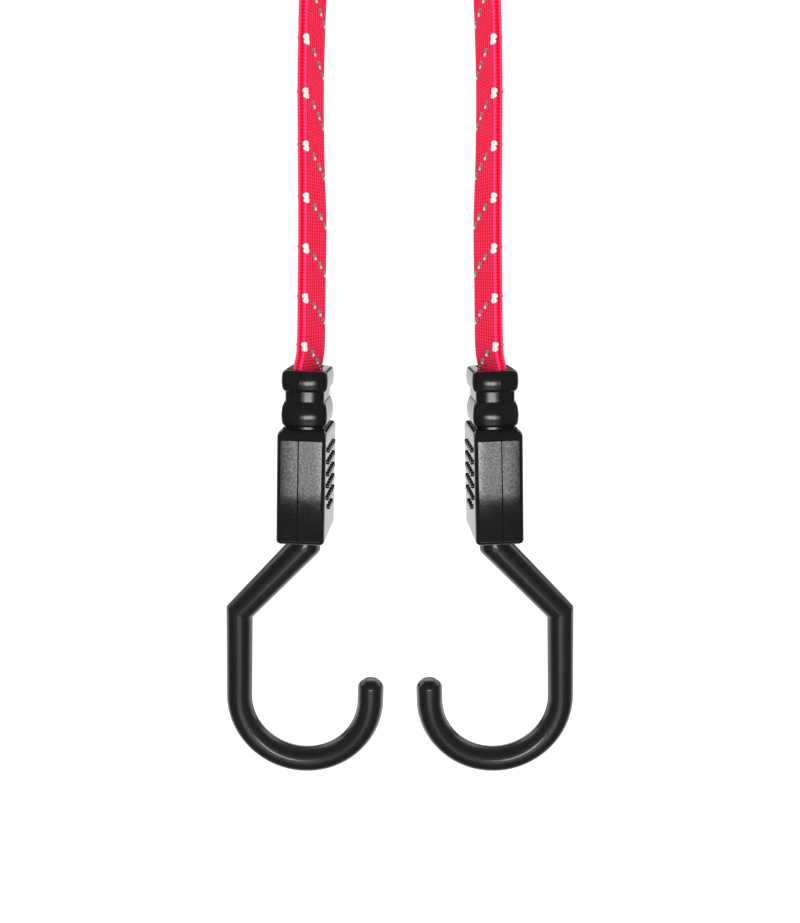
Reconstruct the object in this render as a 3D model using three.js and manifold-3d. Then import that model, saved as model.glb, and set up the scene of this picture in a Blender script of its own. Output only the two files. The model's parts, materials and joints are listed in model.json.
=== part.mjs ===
// A flat bungee cord, folded in half over a peg, with its two hooked ends hanging side by side.
// Millimetres, +Z up, +X to the right and +Y away as seen from the front.
// The origin is where the peg carries the strap, at the inside top of its loop.

import * as THREE from 'three';
import { mergeVertices } from 'three/addons/utils/BufferGeometryUtils.js';
import Module from 'manifold-3d';

const wasm = await Module();
wasm.setup();

// Gaps shared by all pieces
const clearance = 0.3;
const overrun = 1;

// Strap: a woven sleeve round rubber strands
const strapWidth = 17.5;
const strapThickness = 3.1;
const strapEdgeRadius = 1.2;
const sleeveWall = 0.5;
const strandCount = 8;
const strandGap = 0.36;

// Route of the strap's left half, from the top of the loop down to the mouth of the left end:
// x and z of its middle, and the degrees by which its wide face turns to the front.
const leftRoute = [
  [0, 1.6, 0],
  [-6.3, 0.7, 1],
  [-12.1, -1.7, 3],
  [-17.1, -5.6, 6],
  [-20.9, -10.6, 9],
  [-23.3, -16.5, 11.5],
  [-24.3, -23, 13],
  [-24.9, -34, 13.3],
  [-25.8, -50, 12.8],
  [-26.5, -68, 12.6],
  [-26.7, -87, 13.4],
  [-26.7, -108, 15.8],
  [-27.3, -129, 15.9],
  [-27.6, -140, 16.2],
  [-28, -147, 16.6],
];
const endPlace = { x: 28.78, z: 151.8 };
const mouthTwist = 16.9;
const mouthShift = -0.15;

// Each end leans outwards and turns its inner side a little to the front, in degrees
const endLean = 1.9;
const endTurn = 2.5;

// Neck of the housing: two proud rings with a groove between them
const ringOneHeight = 6.5;
const grooveHeight = 3;
const ringTwoHeight = 7.3;
const footHeight = 1.2;
const ringProud = 1.1;
const ringCrown = 1.1;
const neckCornerRadius = 1.6;
const neckBulgeRadius = 13;
const neckWall = 1.1;
const mouthWall = 1.9;
const mouthStraight = 1.55;

// Body of the housing
const bodyHeight = 35.8;
const bodyEdgeRadius = 1.1;
const bodyProud = 0.4;
const bodyWall = 1.4;
const shoulderDrop = 1.7;
const shoulderRadius = 1.5;
const bottomRadius = 1.6;
const floorThickness = 5.3;
const pocketWall = 1.25;
const innerWall = 1.2;
const partingShift = -0.85;

// Grip studs in rows on the wide faces of the body
const studPitch = 3.82;
const studRows = 6;
const studsAcross = 5;
const studsInLastRow = 3;
const studDrop = 6.55;
const studRadius = 0.75;
const studTopShare = 0.6;
const studHeight = 0.55;
const studSides = 8;

// Strap channel inside the housing
const funnelDepth = 15;
const funnelSteps = 4;
const toothCount = 5;
const toothDepth = 0.9;
const toothRampShare = 0.25;

// Pins that line up the two shells
const pinRadius = 1.3;
const pinReach = 3.2;
const pinWall = 0.7;
const pinRows = 2;

// Steel clip folded round the strap's end
const clipSheet = 0.8;
const clipHeight = 7;
const clipSide = 0.55;

// Hook: a steel wire in a moulded cover
const wireRadius = 2.5;
const coverWall = 1.35;
const collarReach = 1.85;
const collarHeight = 3;
const headReach = 1.6;
const headHeight = 1.6;
const hookRadius = 22.14;
const bightShift = 0.4;
const bendRadius = 6.5;
const bendSlope = 42.1;
const bendDrop = 3.9;
const sideDrop = 29.45;
const tipStraight = 4.7;
const tipWall = 2;
const slopeTopShare = 1.13;
const slopeFootShare = 1.02;

// Fineness of round shapes
const cornerSteps = 3;
const bulgeSteps = 3;
const rodSides = 16;
const boreSides = 12;
const collarSides = 24;
const mergeShare = 0.001;
const bendSteps = 4;
const bightSteps = 16;
const domeShares = [[0.31, 0.95], [0.48, 0.81], [0.66, 0.61], [0.75, 0.48]];

const degrees = THREE.MathUtils.degToRad;

// Sizes that follow from the ones above
const rodRadius = wireRadius + clearance + coverWall;
const collarRadius = rodRadius + collarReach;
const headRadius = wireRadius + headReach;
const pocketRadius = collarRadius + clearance;
const bodyThickness = 2 * (pocketRadius + pocketWall);
const ringThickness = bodyThickness - 2 * bodyProud;
const grooveThickness = ringThickness - 2 * ringProud;
const mouthThickness = grooveThickness - 2 * mouthWall;
const channelThickness = strapThickness + 2 * clearance;
const channelWidth = strapWidth + 2 * clearance;
const grooveWidth = channelWidth + 2 * neckWall;
const ringWidth = grooveWidth + 2 * ringProud;
const clipWidth = strapWidth + 2 * clipSide;
const clipThickness = channelThickness + 2 * clipSheet;
const clipPocketWidth = clipWidth + 2 * clearance;
const clipPocketThickness = clipThickness + 2 * clearance;
const socketRadius = pinRadius + clearance;
const pinSide = clipPocketWidth / 2 + pinWall + socketRadius;
const bodyWidth = 2 * (pinSide + socketRadius + bodyWall);

// Levels of one end, measured up from its mouth
const grooveTop = -ringOneHeight;
const ringTwoTop = grooveTop - grooveHeight;
const footTop = ringTwoTop - ringTwoHeight;
const bodyTop = footTop - footHeight;
const bodyBottom = bodyTop - bodyHeight;
const collarBottom = bodyBottom + floorThickness + clearance;
const collarTop = collarBottom + collarHeight;
const headBottom = collarTop + clearance;
const headTop = headBottom + headHeight;
const headPocketTop = headTop + clearance;
const clipPocketBottom = headPocketTop + innerWall;
const clipBottom = clipPocketBottom + clearance;
const clipTop = clipBottom + clipHeight;
const clipPocketTop = clipTop + clearance;
const strapBottom = clipBottom + clipSheet + clearance;

function solidOf(geometry) {
  const bare = geometry.clone();
  bare.deleteAttribute('normal');
  bare.deleteAttribute('uv');
  const merged = mergeVertices(bare);
  return new wasm.Manifold(new wasm.Mesh({
    numProp: 3,
    vertProperties: new Float32Array(merged.attributes.position.array),
    triVerts: new Uint32Array(merged.index.array),
  }));
}

function geometryOf(solid) {
  const mesh = solid.getMesh();
  const geometry = new THREE.BufferGeometry();
  geometry.setAttribute('position', new THREE.BufferAttribute(new Float32Array(mesh.vertProperties), 3));
  geometry.setIndex(new THREE.BufferAttribute(new Uint32Array(mesh.triVerts), 1));
  geometry.computeVertexNormals();
  return geometry;
}

// A rectangle with round corners, centred, as points that run anticlockwise
function roundedPoints(wide, high, radius, steps) {
  const round = Math.min(radius, wide / 2, high / 2);
  const points = [];
  for (let corner = 0; corner < 4; corner += 1) {
    const side = corner === 0 || corner === 3 ? 1 : -1;
    const level = corner < 2 ? 1 : -1;
    for (let step = 0; step <= steps; step += 1) {
      const angle = (corner + step / steps) * Math.PI / 2;
      points.push(new THREE.Vector2(
        side * (wide / 2 - round) + round * Math.cos(angle),
        level * (high / 2 - round) + round * Math.sin(angle),
      ));
    }
  }
  return points.filter((point, k) => point.distanceTo(points[(k + 1) % points.length]) > mergeShare * wide);
}

function circlePoints(radius, sides) {
  return Array.from({ length: sides }, (_, k) => {
    const angle = 2 * Math.PI * (k + 0.5) / sides;
    return new THREE.Vector2(radius * Math.cos(angle), radius * Math.sin(angle));
  });
}

// A slab of the outline from bottom to top, its rims rounded by an edge
function slab(points, bottom, top, edge = 0, edgeSteps = 2) {
  const geometry = new THREE.ExtrudeGeometry(new THREE.Shape(points), {
    depth: top - bottom - 2 * edge,
    bevelEnabled: edge > 0,
    bevelThickness: edge,
    bevelSize: edge,
    bevelOffset: -edge,
    bevelSegments: edgeSteps,
  });
  return geometry.translate(0, 0, bottom + edge);
}

function cylinder(radius, bottom, top, sides) {
  const height = top - bottom;
  const geometry = new THREE.CylinderGeometry(radius, radius, height, sides);
  return geometry.rotateX(Math.PI / 2).translate(0, 0, (top + bottom) / 2);
}

function block(thick, wide, bottom, top) {
  return new THREE.BoxGeometry(thick, wide, top - bottom).translate(0, 0, (top + bottom) / 2);
}

// A closed solid through stations, each with its middle, two directions and the outline's scale
function loft(points, stations) {
  const positions = [];
  const indices = [];
  const count = points.length;
  for (const { middle, across, up, scale = 1 } of stations) {
    for (const point of points) {
      const place = middle.clone();
      place.addScaledVector(across, point.x * scale);
      place.addScaledVector(up, point.y * scale);
      positions.push(place.x, place.y, place.z);
    }
  }
  for (let station = 0; station + 1 < stations.length; station += 1) {
    for (let k = 0; k < count; k += 1) {
      const here = station * count + k;
      const beside = station * count + (k + 1) % count;
      indices.push(here, beside, beside + count, here, beside + count, here + count);
    }
  }
  const last = (stations.length - 1) * count;
  for (const [a, b, c] of THREE.ShapeUtils.triangulateShape(points, [])) {
    indices.push(c, b, a, last + a, last + b, last + c);
  }
  const geometry = new THREE.BufferGeometry();
  geometry.setAttribute('position', new THREE.Float32BufferAttribute(positions, 3));
  geometry.setIndex(indices);
  geometry.computeVertexNormals();
  return geometry;
}

// The strap's stations from the left end, over the peg, to the right end
function endPoint(level, shift = 0) {
  const lean = degrees(endLean);
  return [
    -endPlace.x + level * Math.sin(lean) + shift * Math.cos(lean),
    -endPlace.z + level * Math.cos(lean) - shift * Math.sin(lean),
  ];
}

function strapStations(extra = 0) {
  const left = [...leftRoute];
  for (let step = 0; step <= funnelSteps; step += 1) {
    const share = step / funnelSteps;
    const twist = mouthTwist + (endTurn - mouthTwist) * share;
    left.push([...endPoint(-funnelDepth * share, mouthShift * (1 - share)), twist]);
  }
  left.push([...endPoint(strapBottom - extra), endTurn]);
  const right = left.slice(1).map(([x, z, twist]) => [-x, z, twist]);
  const route = [...left.reverse(), ...right];
  return route.map(([x, z, twist], k) => {
    const before = route[Math.max(k - 1, 0)];
    const after = route[Math.min(k + 1, route.length - 1)];
    const along = new THREE.Vector3(after[0] - before[0], 0, after[1] - before[1]).normalize();
    const outward = new THREE.Vector3(-along.z, 0, along.x);
    const back = new THREE.Vector3(0, 1, 0);
    const turn = degrees(twist);
    const across = back.clone().multiplyScalar(Math.cos(turn)).addScaledVector(outward, -Math.sin(turn));
    const up = outward.clone().multiplyScalar(Math.cos(turn)).addScaledVector(back, Math.sin(turn));
    return { middle: new THREE.Vector3(x, 0, z), across, up };
  });
}

const boreWidth = strapWidth - 2 * sleeveWall;
const boreThickness = strapThickness - 2 * sleeveWall;

function strapSleeve() {
  const outside = roundedPoints(strapWidth, strapThickness, strapEdgeRadius, cornerSteps);
  const inside = roundedPoints(boreWidth, boreThickness, clearance, 1);
  const skin = solidOf(loft(outside, strapStations()));
  return geometryOf(skin.subtract(solidOf(loft(inside, strapStations(overrun)))));
}

function rubberStrand(number) {
  const pitch = (boreWidth - strandGap) / strandCount;
  const wide = pitch - strandGap;
  const high = boreThickness - 2 * clearance;
  const middle = (number - (strandCount - 1) / 2) * pitch;
  const points = roundedPoints(wide, high, 0, 1).map((p) => p.add(new THREE.Vector2(middle, 0)));
  return loft(points, strapStations());
}

// The neck's outline: flat on its wide sides, bulged on its narrow ones and round at its corners
function neckPoints(thick, wide) {
  const side = thick / 2 - neckCornerRadius;
  const reach = neckBulgeRadius - neckCornerRadius;
  const turn = Math.acos(side / reach);
  const level = wide / 2 - neckBulgeRadius;
  const quarter = [];
  for (let step = 0; step < cornerSteps; step += 1) {
    const angle = turn * step / cornerSteps;
    const corner = level + reach * Math.sin(turn);
    quarter.push([side + neckCornerRadius * Math.cos(angle), corner + neckCornerRadius * Math.sin(angle)]);
  }
  for (let step = 0; step <= bulgeSteps; step += 1) {
    const angle = turn + (Math.PI / 2 - turn) * step / bulgeSteps;
    quarter.push([neckBulgeRadius * Math.cos(angle), level + neckBulgeRadius * Math.sin(angle)]);
  }
  const half = [...quarter, ...quarter.slice(0, -1).reverse().map(([x, y]) => [-x, y])];
  return [...half, ...half.map(([x, y]) => [-x, -y])].map(([x, y]) => new THREE.Vector2(x, y));
}

// The outer form of one end's housing, before it is hollowed and split
function housingForm() {
  const neckSlab = (thick, wide, bottom, top, edge) => solidOf(
    slab(neckPoints(thick, wide), bottom, top, edge),
  );
  const half = bodyWidth / 2;
  const foot = ringWidth / 2;
  const outline = new THREE.Shape();
  outline.moveTo(-foot, bodyTop);
  outline.lineTo(-half + shoulderRadius, bodyTop - shoulderDrop);
  outline.quadraticCurveTo(-half, bodyTop - shoulderDrop, -half, bodyTop - shoulderDrop - shoulderRadius);
  outline.lineTo(-half, bodyBottom + bottomRadius);
  outline.quadraticCurveTo(-half, bodyBottom, -half + bottomRadius, bodyBottom);
  outline.lineTo(half - bottomRadius, bodyBottom);
  outline.quadraticCurveTo(half, bodyBottom, half, bodyBottom + bottomRadius);
  outline.lineTo(half, bodyTop - shoulderDrop - shoulderRadius);
  outline.quadraticCurveTo(half, bodyTop - shoulderDrop, half - shoulderRadius, bodyTop - shoulderDrop);
  outline.lineTo(foot, bodyTop);
  const body = slab(outline.getPoints(cornerSteps), -bodyThickness / 2, bodyThickness / 2, bodyEdgeRadius);
  const upright = new THREE.Matrix4().makeBasis(
    new THREE.Vector3(0, 1, 0),
    new THREE.Vector3(0, 0, 1),
    new THREE.Vector3(1, 0, 0),
  );
  return solidOf(body.applyMatrix4(upright))
    .add(neckSlab(grooveThickness, grooveWidth, bodyTop - bodyEdgeRadius, -ringCrown))
    .add(neckSlab(ringThickness, ringWidth, grooveTop, 0, ringCrown))
    .add(neckSlab(ringThickness, ringWidth, footTop, ringTwoTop, ringCrown));
}

// The hollow inside it: funnel, toothed channel, clip pocket, head pocket and shank bore
function housingHollow() {
  const teethTop = -funnelDepth;
  const pitch = (teethTop - clipPocketTop) / toothCount;
  const narrow = channelThickness / 2;
  const profile = [
    new THREE.Vector2(mouthThickness / 2, overrun),
    new THREE.Vector2(mouthThickness / 2, -mouthStraight),
    new THREE.Vector2(narrow, teethTop),
  ];
  for (let tooth = 0; tooth < toothCount; tooth += 1) {
    const top = teethTop - tooth * pitch;
    profile.push(new THREE.Vector2(narrow + toothDepth, top - pitch * toothRampShare));
    profile.push(new THREE.Vector2(narrow, top - pitch));
  }
  const sides = [...profile, ...profile.map((p) => new THREE.Vector2(-p.x, p.y)).reverse()];
  const channel = slab(sides, -channelWidth / 2, channelWidth / 2).rotateX(Math.PI / 2);
  const clipPocket = block(clipPocketThickness, clipPocketWidth, clipPocketBottom, clipPocketTop);
  const headPocket = cylinder(pocketRadius, collarBottom - clearance, headPocketTop, collarSides);
  const shankBore = cylinder(rodRadius + clearance, bodyBottom - overrun, collarBottom, collarSides);
  return solidOf(channel)
    .add(solidOf(clipPocket))
    .add(solidOf(headPocket))
    .add(solidOf(shankBore));
}

function pinPlaces() {
  const upper = bodyTop - shoulderDrop - shoulderRadius - pinRadius - bodyWall;
  const lower = bodyBottom + bottomRadius + pinRadius + bodyWall;
  const places = [];
  for (let row = 0; row < pinRows; row += 1) {
    const level = upper + (lower - upper) * row / (pinRows - 1);
    places.push([-pinSide, level], [pinSide, level]);
  }
  return places;
}

// A round peg across the parting plane, from one distance past it to another
function peg(radius, from, to, [side, level]) {
  const round = cylinder(radius, from, to, boreSides).rotateY(Math.PI / 2);
  return solidOf(round.translate(partingShift, side, level));
}

// The studs of one wide face, as places across and along it
function studPlaces() {
  const places = [];
  for (let row = 0; row < studRows; row += 1) {
    const count = row === studRows - 1 ? studsInLastRow : studsAcross;
    for (let number = 0; number < count; number += 1) {
      places.push([(number - (count - 1) / 2) * studPitch, bodyTop - studDrop - row * studPitch]);
    }
  }
  return places;
}

// A stud narrows outwards. Its foot is sunk in the face by its own height.
function stud(way, [side, level]) {
  const foot = studRadius + (1 - studTopShare) * studRadius;
  const shape = new THREE.CylinderGeometry(studTopShare * studRadius, foot, 2 * studHeight, studSides);
  return solidOf(shape.rotateZ(-way * Math.PI / 2).translate(way * bodyThickness / 2, side, level));
}

// One half of the housing. The outer shell carries the pins, the inner one their sockets.
function housingShell(inner) {
  const form = housingForm().subtract(housingHollow());
  const gap = clearance / 2;
  const way = inner ? 1 : -1;
  const size = 2 * (bodyWidth - bodyBottom);
  const side = new THREE.BoxGeometry(size, size, size);
  let shell = form.intersect(solidOf(side.translate(partingShift + way * (size / 2 + gap), 0, 0)));
  for (const place of pinPlaces()) {
    shell = inner
      ? shell.subtract(peg(socketRadius, -overrun, pinReach + clearance, place))
      : shell.add(peg(pinRadius, -gap - pinRadius, pinReach, place));
  }
  for (const place of studPlaces()) {
    shell = shell.add(stud(way, place));
  }
  return geometryOf(shell);
}

// A sheet folded into a U round the strap's end, its legs against the strap's faces
function strapClip() {
  const outside = clipThickness / 2;
  const inside = channelThickness / 2;
  const fold = [
    [outside - clipSheet, clipBottom], [outside, clipBottom + clipSheet], [outside, clipTop],
    [inside, clipTop], [inside, clipBottom + clipSheet], [-inside, clipBottom + clipSheet],
    [-inside, clipTop], [-outside, clipTop], [-outside, clipBottom + clipSheet],
    [clipSheet - outside, clipBottom],
  ];
  const points = fold.map(([x, z]) => new THREE.Vector2(x, z));
  return slab(points, -clipWidth / 2, clipWidth / 2).rotateX(Math.PI / 2);
}

// The hook's middle line: down the shank, out along the slope, down again and round the bight.
// Each entry holds x, z and the direction of travel as an angle from straight down. The two bends
// are rounded for the wire and mitred for its cover, which swells there by a share of its radius.
function hookLine(mitred) {
  const slope = degrees(bendSlope);
  const side = bightShift - hookRadius;
  const corner = bodyBottom - bendDrop;
  const elbow = corner + side / Math.tan(slope);
  const straight = bendRadius * Math.tan(slope / 2);
  const line = [[0, collarTop, 0], [0, bodyBottom, 0]];
  const bend = (cx, cz, radius, from, to, steps, turn) => {
    for (let step = 0; step <= steps; step += 1) {
      const angle = from + (to - from) * step / steps;
      line.push([cx + turn * radius * Math.cos(angle), cz + turn * radius * Math.sin(angle), angle]);
    }
  };
  if (mitred) {
    line.push([0, corner, -slope / 2, slopeTopShare], [side, elbow, -slope / 2, slopeFootShare]);
  } else {
    bend(-bendRadius, corner + straight, bendRadius, 0, -slope, bendSteps, 1);
    bend(side + bendRadius, elbow - straight, bendRadius, -slope, 0, bendSteps, -1);
  }
  bend(bightShift, elbow - sideDrop, hookRadius, 0, Math.PI, bightSteps, -1);
  return line;
}

function hookStations(from, past, mitred = false) {
  const stretch = 1 / Math.cos(degrees(bendSlope) / 2);
  const stations = hookLine(mitred).map(([x, z, angle, share]) => ({
    middle: new THREE.Vector3(x, 0, z),
    across: new THREE.Vector3(0, share ?? 1, 0),
    up: new THREE.Vector3(Math.cos(angle), 0, Math.sin(angle)).multiplyScalar(share ? share * stretch : 1),
  }));
  stations[0].middle.z = from;
  const tip = stations[stations.length - 1];
  const end = { ...tip, middle: tip.middle.clone().add(new THREE.Vector3(0, 0, past)) };
  return [...stations, end];
}

function hookCover() {
  const stations = hookStations(collarTop, tipStraight, true);
  const end = stations[stations.length - 1];
  for (const [riseShare, widthShare] of domeShares) {
    const middle = end.middle.clone().add(new THREE.Vector3(0, 0, rodRadius * riseShare));
    stations.push({ ...end, middle, scale: widthShare });
  }
  const bore = loft(
    circlePoints(wireRadius + clearance, boreSides),
    hookStations(collarTop + overrun, tipStraight - tipWall),
  );
  const collar = cylinder(collarRadius, collarBottom, collarTop, collarSides);
  return geometryOf(
    solidOf(loft(circlePoints(rodRadius, rodSides), stations)).add(solidOf(collar)).subtract(solidOf(bore)),
  );
}

function hookWire() {
  const rod = loft(
    circlePoints(wireRadius, boreSides),
    hookStations(headTop, tipStraight - tipWall - clearance),
  );
  return geometryOf(solidOf(rod).add(solidOf(cylinder(headRadius, headBottom, headTop, collarSides))));
}

// Finishes
const webbing = new THREE.MeshStandardMaterial({ color: 0xd8142f, roughness: 0.75, metalness: 0 });
const rubber = new THREE.MeshStandardMaterial({ color: 0xcbb994, roughness: 0.8, metalness: 0 });
const housingPlastic = new THREE.MeshStandardMaterial({ color: 0x1c1c1d, roughness: 0.55, metalness: 0 });
const hookPlastic = new THREE.MeshStandardMaterial({ color: 0x171718, roughness: 0.4, metalness: 0 });
const steel = new THREE.MeshStandardMaterial({ color: 0x9a9c9e, roughness: 0.35, metalness: 1 });

function piece(name, geometry, material) {
  const mesh = new THREE.Mesh(geometry, material);
  mesh.name = name;
  return mesh;
}

function hookedEnd(side, turnedAbout) {
  const group = new THREE.Group();
  const way = turnedAbout ? 1 : -1;
  group.position.set(way * endPlace.x, 0, -endPlace.z);
  group.rotation.set(0, -way * degrees(endLean), way * degrees(endTurn) + (turnedAbout ? Math.PI : 0));
  group.add(piece(`${side}_outer_shell`, housingShell(false), housingPlastic));
  group.add(piece(`${side}_inner_shell`, housingShell(true), housingPlastic));
  group.add(piece(`${side}_strap_clip`, strapClip(), steel));
  group.add(piece(`${side}_hook_cover`, hookCover(), hookPlastic));
  group.add(piece(`${side}_hook_wire`, hookWire(), steel));
  return group;
}

const bungee = new THREE.Group();
bungee.add(piece('strap_sleeve', strapSleeve(), webbing));
for (let number = 0; number < strandCount; number += 1) {
  bungee.add(piece(`rubber_strand_${number + 1}`, rubberStrand(number), rubber));
}
bungee.add(hookedEnd('left', false));
bungee.add(hookedEnd('right', true));

export default bungee;
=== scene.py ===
# A flat bungee cord, folded in half over a peg, with its two hooked ends hanging side by side.
# The row frame is in metres. One end's housing and hook are modelled in millimetres in the
# frame of that end: x towards the other end, z up along the strap, the origin at its mouth.

import json
import math

import bmesh
import bpy
from mathutils import Matrix, Vector


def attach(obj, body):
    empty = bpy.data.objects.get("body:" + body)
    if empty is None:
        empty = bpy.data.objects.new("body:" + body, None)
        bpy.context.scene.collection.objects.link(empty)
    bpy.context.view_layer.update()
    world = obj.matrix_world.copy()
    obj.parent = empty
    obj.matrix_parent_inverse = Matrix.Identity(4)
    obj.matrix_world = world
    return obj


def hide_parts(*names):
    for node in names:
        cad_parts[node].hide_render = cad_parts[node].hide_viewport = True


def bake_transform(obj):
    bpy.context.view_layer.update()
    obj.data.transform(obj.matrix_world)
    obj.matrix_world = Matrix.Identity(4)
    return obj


MM = 0.001
SIDES = ("left", "right")

# The picture's height and the camera's focal length in pixels, and the camera's place in metres, its
# tilt down in degrees and the nearest that it sees. The sensor's width, in millimetres, spans the
# picture's longer side, which is its height.
FRAME_HEIGHT = 923
FOCAL_LENGTH = 994.8
SENSOR_WIDTH = 36
CAMERA_PLACE = (0, -0.3125, -0.1186)
CAMERA_TILT = 11.447
NEAREST_SEEN = 0.01

# Lamps, in metres: a strip low in front, brightest in the middle, and a dim one below it. The parts of
# a strip are half widths and radiances. They add up, because each lies a layer behind the one before.
STRIP_DISTANCE = 0.515
STRIP_TOP = -0.213
STRIP_BOTTOM = -0.311
STRIP_PARTS = [(0.17, 0.9), (0.155, 1.4), (0.14, 1.2), (0.1, 2.4), (0.094, 4.0)]
LOW_STRIP_TOP = -0.37
LOW_STRIP_BOTTOM = -0.54
LOW_STRIP_PARTS = [(0.2, 0.5), (0.12, 0.55)]
STRIP_LAYER = 0.001

# Surroundings: the light on the object, and what gloss sees behind it, above it and elsewhere. The
# edges are parts of a unit direction between which the white behind and the white above begin or end.
LIGHT_LEVEL = 1.12
REAR_GLOSS = 1.0
TOP_GLOSS = 1.5
FRONT_GLOSS = 0.02
REAR_EDGE = (0.1, 0.4)
SIDE_EDGE = (0.085, 0.105)
REAR_TOP = (0.12, 0.2)
SIDE_TOP_DROP = 0.12
HIGH_FOOT = (0.2, 0.36)
HIGH_TOP = (0.6, 0.8)

# Floor, in metres
FLOOR_LEVEL = -0.55
FLOOR_SIZE = 6
FLOOR_WHITE = 0.85

# Strap: its size, its ribs and its ends, in metres, and its twist there in degrees. The ribs are on
# the wide faces. A narrow edge has two lobes, and each runs on into the crease between them, to an
# angle past its middle, in degrees. Their crests are marked higher than a rib's, which is 1, so that
# the finish paints a paler sheen on them.
STRAP_WIDTH = 0.0175
STRAP_THICKNESS = 0.0031
RIB_COUNT = 8
RIB_DEPTH = 0.00013
RIB_STEPS = 6
EDGE_STEPS = 7
EDGE_CREASE = 48
EDGE_CREST = 1.25
STATION_PITCH = 0.001
INSIDE_MOUTH = 0.0404
MOUTH_TWIST = 16.9
FUNNEL_DEPTH = 0.015
FUNNEL_STEPS = 4
MOUTH_SHIFT = -0.00015
END_TWIST = 2.5

# The route of its left half, from the top of the loop to the mouth: x and z in metres and twist in
# degrees. The loop ends and the leg starts at one of its points.
ROUTE = [
    (0, 0.0016, 0),
    (-0.0063, 0.0007, 1),
    (-0.0121, -0.0017, 3),
    (-0.0171, -0.0056, 6),
    (-0.0209, -0.0106, 9),
    (-0.0233, -0.0165, 11.5),
    (-0.0243, -0.023, 13),
    (-0.0249, -0.034, 13.3),
    (-0.0258, -0.05, 12.8),
    (-0.0265, -0.068, 12.6),
    (-0.0267, -0.087, 13.4),
    (-0.0267, -0.108, 15.8),
    (-0.0273, -0.129, 15.9),
    (-0.0276, -0.14, 16.2),
    (-0.028, -0.147, 16.6),
]
LEG_TOP = 6

# Braid of the sleeve, in millimetres. The slant is how far along a stitch runs for each step round.
STITCH_PITCH = 0.96
STITCH_SLANT = 0.3
WALE_PITCH = 1.03

# Rubber strands, in metres, and how many stations of the strap they step over
SLEEVE_WALL = 0.0005
STRAND_GAP = 0.00036
STRAND_CLEARANCE = 0.0003
STRAND_STEP = 3

# Tracer yarn: it winds round the strap, from a stitch on the front corner across the inner face
# and back over the outer one. Steps in millimetres towards the back and down.
TRACER_PITCH = 14.7
TRACER_START = 13.0
TRACER_STEPS = [(5.8, 2.4), (10.9, 5.0), (15.0, 7.6), (20.5, 9.3), (26.0, 10.8), (31.0, 12.3), (35.3, 13.6)]
TRACER_MARGIN = 2

# A stitch is two lobes: place round and down the strap, half width, half height and the peak of
# its painted glint, the yarn's reflection painted on as white, bright on the front corner and dim on
# the wide face. A lobe's rings are shares of its spread, its rise and its painted glint.
CORNER_PLACE = 0.5
CORNER_LOBES = [(0.2, -0.68, 1.35, 1.0, 0.95), (-0.2, 0.68, 1.5, 1.0, 1.0)]
STITCH_LOBES = [(0.45, -0.52, 1.4, 0.66, 0.1), (-0.45, 0.52, 1.4, 0.66, 0.55)]
LOBE_SHARES = [(1.0, -0.2, 0.0), (0.88, 0.45, 0.05), (0.7, 0.8, 0.9), (0.4, 0.97, 1.0)]
LOBE_SIDES = 14
LOBE_RISE = 0.28

# Neck of the housing, in millimetres: the heights of its parts from the mouth down, and its section.
# A ring's rounding is its height and its depth, first at the ring's top and then at its foot.
RING_ONE = 6.5
GROOVE = 3
RING_TWO = 7.8
FOOT = 0.7
RING_THICKNESS = 14.3
RING_WIDTH = 22.5
RING_PROUD = 1.1
RING_CROWN_RADIUS = 11.5
RING_ONE_ROUND = [(1.1, 1.1), (1.15, 1.0)]
RING_TWO_ROUND = [(2.0, 1.1), (0.9, 0.9)]
NECK_CORNER = 1.6
NECK_BULGE_RADIUS = 11.5
MOUTH_THICKNESS = 8.3
MOUTH_STRAIGHT = 1.55
CHANNEL_WIDTH = 18.1
CHANNEL_THICKNESS = 3.7
CHANNEL_DEPTH = 35

# The clip's pocket in the housing: thickness, width, bottom and top
CLIP_POCKET = (5.9, 19.2, -41.8, -34.2)

# Body of the housing, in millimetres
BODY_HEIGHT = 35.8
BODY_THICKNESS = 15.1
BODY_WIDTH = 29.8
BODY_EDGE = 1.4
SHOULDER_DROP = 1.6
PARTING_SHIFT = -0.85
PARTING_GAP = 0.04
PARTING_ROUND = 0.22
NECK_PARTING_ROUND = 0.08
PARTING_MARGIN = 0.3
SEAT_RADIUS = 6.3
SEAT_BOTTOM = -48.5
SEAT_TOP = -43
BORE_RADIUS = 4.45

# Grip studs on the wide faces, in millimetres
STUD_PITCH = 3.82
STUD_ROWS = 6
STUDS_ACROSS = 5
STUDS_IN_LAST_ROW = 3
STUD_DROP = 6.55
STUD_RADIUS = 0.88
STUD_RISE = 0.62
STUD_ROUND = 0.3

# Hook, in millimetres. Its radii at the slope's top and foot, and the rises and radii of its dome,
# are shares of the rod's radius.
ROD_RADIUS = 4.15
COLLAR_RADIUS = 6
COLLAR_HEIGHT = 3
COLLAR_TOP = -45.2
HOOK_RADIUS = 22.14
BIGHT_SHIFT = 0.4
BEND_SLOPE = math.radians(42.1)
BEND_DROP = 3.9
SIDE_DROP = 29.45
TIP_STRAIGHT = 4.7
SLOPE_TOP_SHARE = 1.13
SLOPE_FOOT_SHARE = 1.02
CORNER_ROUND = 1.2
ELBOW_ROUND = 0.6
FLASH_RISE = 0.16
DOME_SHARES = [
    (0.16, 0.985),
    (0.31, 0.95),
    (0.41, 0.885),
    (0.5, 0.805),
    (0.59, 0.71),
    (0.67, 0.6),
    (0.73, 0.51),
]

# Relief of the finishes, in metres
NYLON_RELIEF = 0.00003
COVER_RELIEF = 0.00004
BRAID_RELIEF = 0.00016
YARN_RELIEF = 0.0001
RUBBER_RELIEF = 0.00005
STEEL_RELIEF = 0.00003

# Fineness of round shapes, and the angles past which an edge is sharp, in degrees
ROD_SIDES = 64
STUD_SIDES = 24
CORNER_STEPS = 6
BULGE_STEPS = 8
CROWN_STEPS = 6
BIGHT_STEPS = 72
BEVEL_STEPS = 5
PARTING_STEPS = 4
CURVE_STEPS = 24
BODY_SHARP = 20
MOULDED_SHARP = 38
STRAP_SHARP = 60

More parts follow.
